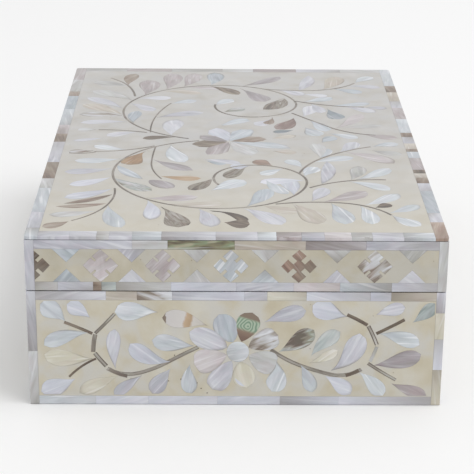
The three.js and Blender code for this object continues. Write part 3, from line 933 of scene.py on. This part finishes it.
# ---------- the base's sides ----------
SIDE_HEART = Vector((1, 29))
HEART_RADIUS = 5.5
PETAL_GAP = 0.15  # between the heart and the foot of a petal
SIDE_PETALS = [
    (115, 22, 11.5, "blue", PETAL), (72, 22, 11.5, "ringed", EGG), (25, 21.5, 11.5, "streaked", FAN),
    (338, 20.5, 12.5, "grey", FAN), (283, 20, 11, "cream", PETAL), (239, 24, 11, "pearl", FAN),
    (198, 22.5, 13, "pink", FAN), (156, 26, 11, "pearl", PETAL),
]
# The two stems beside the flower, and how much of a stem or a bar is pale in the middle.
RIGHT_STEM = Stem((17.3, 30.2), -40, [(15.9, 18), (16.4, 8), (16, 48)], [], SIDE_STEM)
LEFT_STEM = Stem((-18.4, 31.4), 207, [(18, 3), (14.6, -15), (16, -48)], [], SIDE_STEM)
STEM_CORE, BAR_CORE = 0.6, 0.55
# Bars of the branches: start, end, bend in degrees, shell, width.
BARS = [
    (54, 49, 64, 43.5, -8, "dark", 1.7), (64.5, 43, 69, 33, -6, "pale_stem", 1.9),
    (68.5, 39, 82, 46.5, 4, "dark", 1.6), (69, 32, 66, 24, -8, "grey", 1.6),
    (65, 23, 79, 14, 6, "pale_stem", 1.6), (54.2, 16.3, 60.6, 19.2, 16, "dark", 1.9),
    (-63.5, 21, -69, 28, -6, "pale_stem", 2.1), (-69.8, 28.6, -68.6, 38, -12, "pale_stem", 2.1),
    (-68.6, 38.6, -59, 49, 4, "pale_stem", 1.6), (-70, 38.5, -83.5, 44.5, 4, "dark", 1.5),
    (-68.5, 25, -82, 15, 24, "dark", 1.1), (-53.3, 15.6, -62.3, 19.5, -26, "stem", 1.9),
]
# Leaves: foot, tip, width, curl in degrees, shell.
LEAVES = [
    (14, 45, 34, 51, 8.5, -16, "pearl"), (54, 48, 37, 54, 10.5, -14, "bright"),
    (21, 29, 38, 41, 9.5, 20, "abalone"), (37, 27, 51, 40, 8, -30, "teal"),
    (36, 23, 50, 30, 5, 16, "cream"), (47, 19, 61, 40, 10.5, 58, "pearl"),
    (68, 49, 82, 53, 7, -14, "pearl"), (86, 45, 97, 55, 7, 14, "teal"), (70, 39, 90, 33, 8, -20, "white"),
    (68, 22, 91, 28, 9, 18, "smoke"), (77, 12, 94.5, 5.5, 6.5, 8, "mauve"),
    (20, 24, 18, 7, 10, -44, "white"), (-0.3, 14.8, 4.6, 10.2, 1.6, 40, "bright"),
    (32, 22, 38, 7, 7, -20, "white"), (44, 16, 57, 6, 8, -24, "bright"), (61, 18, 73, 5, 8, -24, "white"),
    (-83, 45, -95, 54, 10, 30, "white"), (-71, 47, -82, 54, 8, 20, "bright"),
    (-72, 39, -94, 32, 8, 30, "white"), (-70, 25, -94, 27, 9, -20, "cream"),
    (-79, 14, -96, 7, 10, -14, "bright"), (-38, 50, -59, 50, 10, 10, "white"),
    (-59, 19.5, -59, 41, 7, -20, "pearl"), (-32, 23.5, -52.5, 33.5, 9, -55, "bright"),
    (-20.5, 32, -41, 35, 9, -8, "white"), (-14, 43, -36, 47, 9.5, 20, "banded"),
    (-32, 19.7, -41, 6, 8.5, 14, "pearl"), (-22.5, 22, -21.5, 6, 8, 36, "white"),
    (-58, 15.5, -77, 6.5, 7.5, 8, "cream"), (-46, 16, -60, 5, 6, 8, "pearl"),
]
# A spray that fills the bare end of a long side: distance, lean, length, width, shell.
END_SPRAY = [
    (3, 62, 19, 8, "pearl"), (5, -58, 19, 8, "white"), (13, 52, 21, 8, "bright"), (16, -50, 20, 8, "grey"),
    (23, 48, 19, 7, "blue"), (26, -44, 18, 7, "white"), (33, 6, 10, 6, "brown"),
]
SPRAY_FOOT = (101, 29)
PITS = [(-33, 13), (-17, 9), (-14, 6.5), (-30, 27), (-27, 14), (-19, 12), (33, 20), (72, 9)]
PIT_RADIUS = 0.32
SIDE_LEAF_GAP = 1.2
SIDE_ROOM = 0.5


def end_spray(sign):
    """The spray at the right end (sign 1) or, mirrored, at the left end (sign -1)."""
    leaves = [(far, sign * lean, *rest) for far, lean, *rest in END_SPRAY]
    x, y = SPRAY_FOOT
    stem = Stem((sign * x, y), 90 - sign * 86, [(33, -sign * 12)], leaves, 1.6)
    return stem_tiles(stem, "dark") + leaf_tiles(stem, SIDE_LEAF_GAP)


def pit_tiles():
    """Bubbles in the resin, cut open by the grinding and full of polish."""
    outlines = [[Vector(place) + heading(60 * i) * PIT_RADIUS for i in range(6)] for place in PITS]
    return [tile(outline, "dark", 0) for outline in outlines]


def side_flower():
    """A round heart, and petals that stand close round it."""
    heart = [SIDE_HEART + heading(15 * i) * HEART_RADIUS for i in range(24)]
    tiles = [tile(heart, "white", 20)]
    for direction, reach, width, shell, shape in SIDE_PETALS:
        start = HEART_RADIUS + PETAL_GAP
        foot = SIDE_HEART + heading(direction) * start
        outline = leaf_outline(foot, direction, reach - start, width, 0, shape)
        tiles.append(tile(outline, shell, direction, True))
    return tiles


# The way that each side faces, as x and y.
FACING = {"front": (0, -1), "right": (1, 0), "back": (0, 1), "left": (-1, 0)}


def side_panel(side):
    """The panel of one side, and half its length."""
    x, y = FACING[side]
    origin = Vector((x * HALF_WIDTH, y * HALF_DEPTH, 0))
    return Panel(origin, Vector((-y, x, 0)), UP, Vector((x, y, 0))), HALF_WIDTH if y else LONG_HALF


FRONT_BASE_STRIPS = {
    "top": "pearl -63 tan -48 streaked -31 bright 4 pearl 15 cream 34 bright 65 bright 75 tan",
    "bottom": "white -69 bright -43 bright -9 bright 22 bright 51 bright",
    "left": "grey 29 pearl",
    "right": "cream 19.5 bright 36 cream 50 pearl",
}
FRONT_LID_STRIPS = {
    "top": "pearl -50 grey -33 moss -1 tan 33 smoke 62 pearl",
    "bottom": "grey -86 pearl -69 brown -65 teal -58 grey -31.5 bright 0 pearl 27.7 pink 50 white 75 pearl",
    "left": "pearl",
    "right": "grey",
}


def side_border(half, low, high, plan, rng):
    """The four rows of strips round a side; without a plan their lengths are chance."""
    inner = half - SIDE_BORDER
    rows = {
        "top": (-inner, high - SIDE_BORDER, inner, high),
        "bottom": (-inner, low, inner, low + SIDE_BORDER),
        "left": (-half, low, -inner, high),
        "right": (inner, low, half, high),
    }
    tiles = []
    for name, rect in rows.items():
        upright = name in ("left", "right")
        if plan:
            tiles += planned_strips(rect, plan[name], upright)
        else:
            tiles += chance_strips(rect, rng, upright)
    return tiles


def build_base_side(side, seed):
    panel, half = side_panel(side)
    plan = FRONT_BASE_STRIPS if side == "front" else None
    border = side_border(half, BASE_LOW, BASE_HIGH, plan, random.Random(seed))
    vines = [whole_stem(stem, "stem") for stem in (RIGHT_STEM, LEFT_STEM)]
    vines += [whole_stem(stem, "pale_stem", STEM_CORE) for stem in (RIGHT_STEM, LEFT_STEM)]
    for *line, bend, shell, width in BARS:
        if shell == "pale_stem":
            vines.append(bar_tile(*line, bend, "stem", width))
            width *= BAR_CORE
        vines.append(bar_tile(*line, bend, shell, width))
    vines += [leaf_between(*row) for row in LEAVES]
    if side == "front":
        vines += pit_tiles()
    if half > HALF_WIDTH:
        vines += end_spray(1) + end_spray(-1)
    inner = half - SIDE_BORDER
    field = inset((-inner, BASE_LOW + SIDE_BORDER, inner, BASE_HIGH - SIDE_BORDER), CRACK)
    vines = kept_inside(vines, inset(field, SIDE_ROOM))
    dress(f"base_{side}", panel, field, border, seed + 1, "base_side", [
        ("flower_petals", side_flower(), ["flower"]),
        ("vine_pieces", vines, ["left_vine", "right_vine"]),
    ])


# ---------- the lid's sides ----------
CROSS_REACH = 8.8  # from the middle of a cross to its tips
CROSS_PITCH = 32.3
HALF_REACH = 6.7
HALF_MIX = ["white", "blue", "grey", "grey", "pearl", "pearl"]
CUTS = (0.07, 0.13)  # least and most half width of a saw cut, as a share of the reach
# Set out on the front: place along it, shell, half width of the saw cuts.
FRONT_CROSSES = [
    (-98, "dark", 0.1), (-65.2, "pink", 0.06), (-35.3, "mauve", 0.08), (-2.7, "white", 0.09),
    (30, "red", 0.15), (66.5, "streaked", 0.08),
]


def build_lid_side(side, seed):
    panel, half = side_panel(side)
    rng = random.Random(seed)
    front = side == "front"
    border = side_border(half, LID_LOW, LID_HIGH, FRONT_LID_STRIPS if front else None, rng)
    inner = half - SIDE_BORDER
    low, high = LID_LOW + SIDE_BORDER, LID_HIGH - SIDE_BORDER
    field = inset((-inner, low, inner, high), CRACK)
    plan = FRONT_CROSSES
    if not front:
        count = round(2 * half / CROSS_PITCH) + 1
        places = [(column - (count - 1) / 2) * CROSS_PITCH for column in range(count)]
        plan = [(x, rng.choice(FULL_MIX), rng.uniform(*CUTS)) for x in places]
    crosses, halves = [], []
    for (x, shell, slit), after in zip(plan, plan[1:] + [(half + 1, None, 0)]):
        middle = Vector((x, (low + high) / 2))
        crosses.append(tile(cross_outline(middle, CROSS_REACH, slit), shell, rng.choice((45, 135))))
        for edge in (low, high):
            centre = Vector(((x + after[0]) / 2, edge))
            shell = rng.choice(HALF_MIX)
            halves.append(tile(diamond_outline(centre, HALF_REACH), shell, rng.choice((45, 135))))
    dress(f"lid_{side}", panel, field, border, seed + 1, "lid_side", [
        ("crosses", kept_inside(crosses, field), [f"cross_{i}" for i in range(1, 6)] if front else []),
        ("half_crosses", kept_inside(halves, field), []),
    ])


# ---------- studio ----------
FLOOR_REACH = 6.0  # metres, as all sizes of the studio
LAMP_PLACE, LAMP_AIM = Vector((1.7, -0.8, 3.2)), Vector((0, 0, 0.05))
CAMERA_PLACE = (-0.0081, -0.8746, 0.3676)
# How far the camera looks down, is turned aside, and leans over.
TILT, YAW, ROLL = (math.radians(angle) for angle in (21.08, -0.65, 0.5))


def build_floor():
    """A matt white sweep, so large that its end is never seen."""
    material, _, surface = new_material("white_studio_floor")
    plug(surface, {"Base Color": linear("#F7F7F7"), "Roughness": 0.9, "Specular IOR Level": 0.1})
    bm = bmesh.new()
    sheet = rectangle(-FLOOR_REACH, -FLOOR_REACH, FLOOR_REACH, FLOOR_REACH)
    bm.faces.new([bm.verts.new((*corner, 0)) for corner in sheet])
    placed("studio_floor", bm, [material])


def build_studio():
    """White air all round, one large soft lamp, and a camera with a long lens."""
    scene = bpy.context.scene
    scene.view_settings.view_transform = "Standard"
    world = bpy.data.worlds.new("studio_air")
    world.use_nodes = True
    background = world.node_tree.nodes["Background"]
    plug(background, {"Color": linear("#FFFFFF"), "Strength": 0.76})
    scene.world = world
    light = bpy.data.lights.new("overhead_softbox", "AREA")
    light.shape = "SQUARE"
    light.size = 2.4
    light.energy = 50
    lamp = bpy.data.objects.new("overhead_softbox", light)
    lamp.location = LAMP_PLACE
    lamp.rotation_euler = (LAMP_AIM - LAMP_PLACE).to_track_quat("-Z", "Y").to_euler()
    scene.collection.objects.link(lamp)
    lens = bpy.data.cameras.new("camera")
    lens.lens = 123.4
    lens.sensor_width = 36
    camera = bpy.data.objects.new("camera", lens)
    turn = Matrix.Rotation(YAW, 4, "Z") @ Matrix.Rotation(math.pi / 2 - TILT, 4, "X")
    turn @= Matrix.Rotation(ROLL, 4, "Z")
    camera.matrix_world = Matrix.Translation(CAMERA_PLACE) @ turn
    scene.collection.objects.link(camera)
    scene.camera = camera


build_studio()
build_floor()
build_top()
for number, side in enumerate(FACING):
    build_base_side(side, 100 + 10 * number)
    build_lid_side(side, 200 + 10 * number)
for node in ("base_carcass", "lid_carcass"):
    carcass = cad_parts[node]
    carcass.data.materials.clear()
    carcass.data.materials.append(WOOD)
